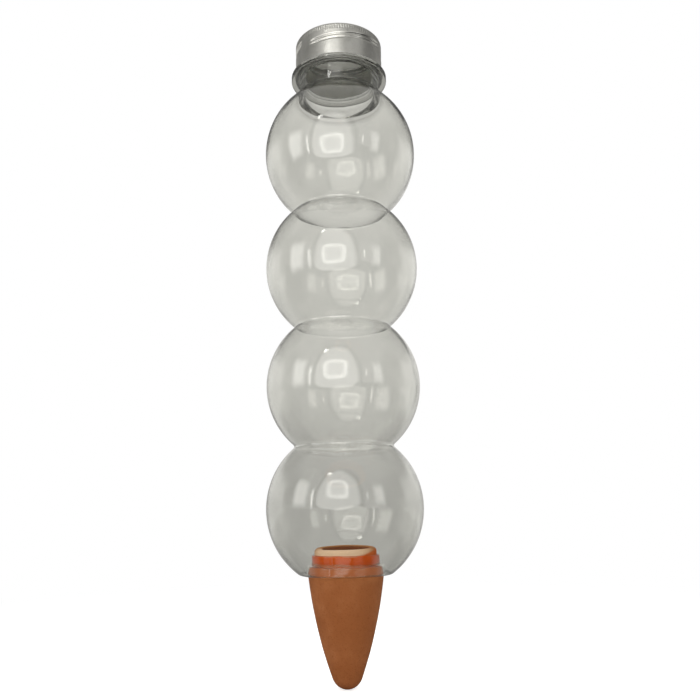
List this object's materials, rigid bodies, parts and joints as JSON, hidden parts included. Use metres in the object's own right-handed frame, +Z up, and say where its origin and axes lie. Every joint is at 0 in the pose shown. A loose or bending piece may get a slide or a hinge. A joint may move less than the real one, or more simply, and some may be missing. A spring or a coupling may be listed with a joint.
{
  "type": "self watering spike",
  "caption": "Clear bulb-stack water bottle with a screw cap on its flanged neck and a porous terracotta spike in its base that seeps water into the soil.",
  "frame": {"origin": "on the axis, at the bottle's base plane, which is the soil line when the spike is pushed in", "axes": "+Z up along the bottle's axis, from the spike to the cap"},
  "size_m": [0.0648, 0.0648, 0.2719],
  "materials": {
    "clear_plastic": "clear blown plastic, glossy, faintly grey-green",
    "clear_sealant": "clear sealant, glossy",
    "terracotta": "unglazed terracotta, matt, fine grained",
    "cap_aluminium": "drawn sheet, satin",
    "liner_foam": "soft foamed disc, matt"
  },
  "bodies": {
    "bottle": {"bottle": "clear_plastic", "spike_seal": "clear_sealant", "terracotta_spike": "terracotta"},
    "liner": {"cap_liner": "liner_foam"},
    "cap": {"screw_cap": "cap_aluminium"}
  },
  "joints": [
    {"name": "cap_lift", "type": "slide", "parent": "bottle", "child": "liner", "axis": [0, 0, 1], "range_m": [0, 0.01905]},
    {"name": "cap_turn", "type": "hinge", "parent": "liner", "child": "cap", "pos_m": [0, 0, 0.22809], "axis": [0, 0, 1], "range_deg": [0, 720]}
  ],
  "couplings": [
    {"joint": "cap_lift", "follows": "cap_turn", "m_per_rad": 0.001516}
  ]
}
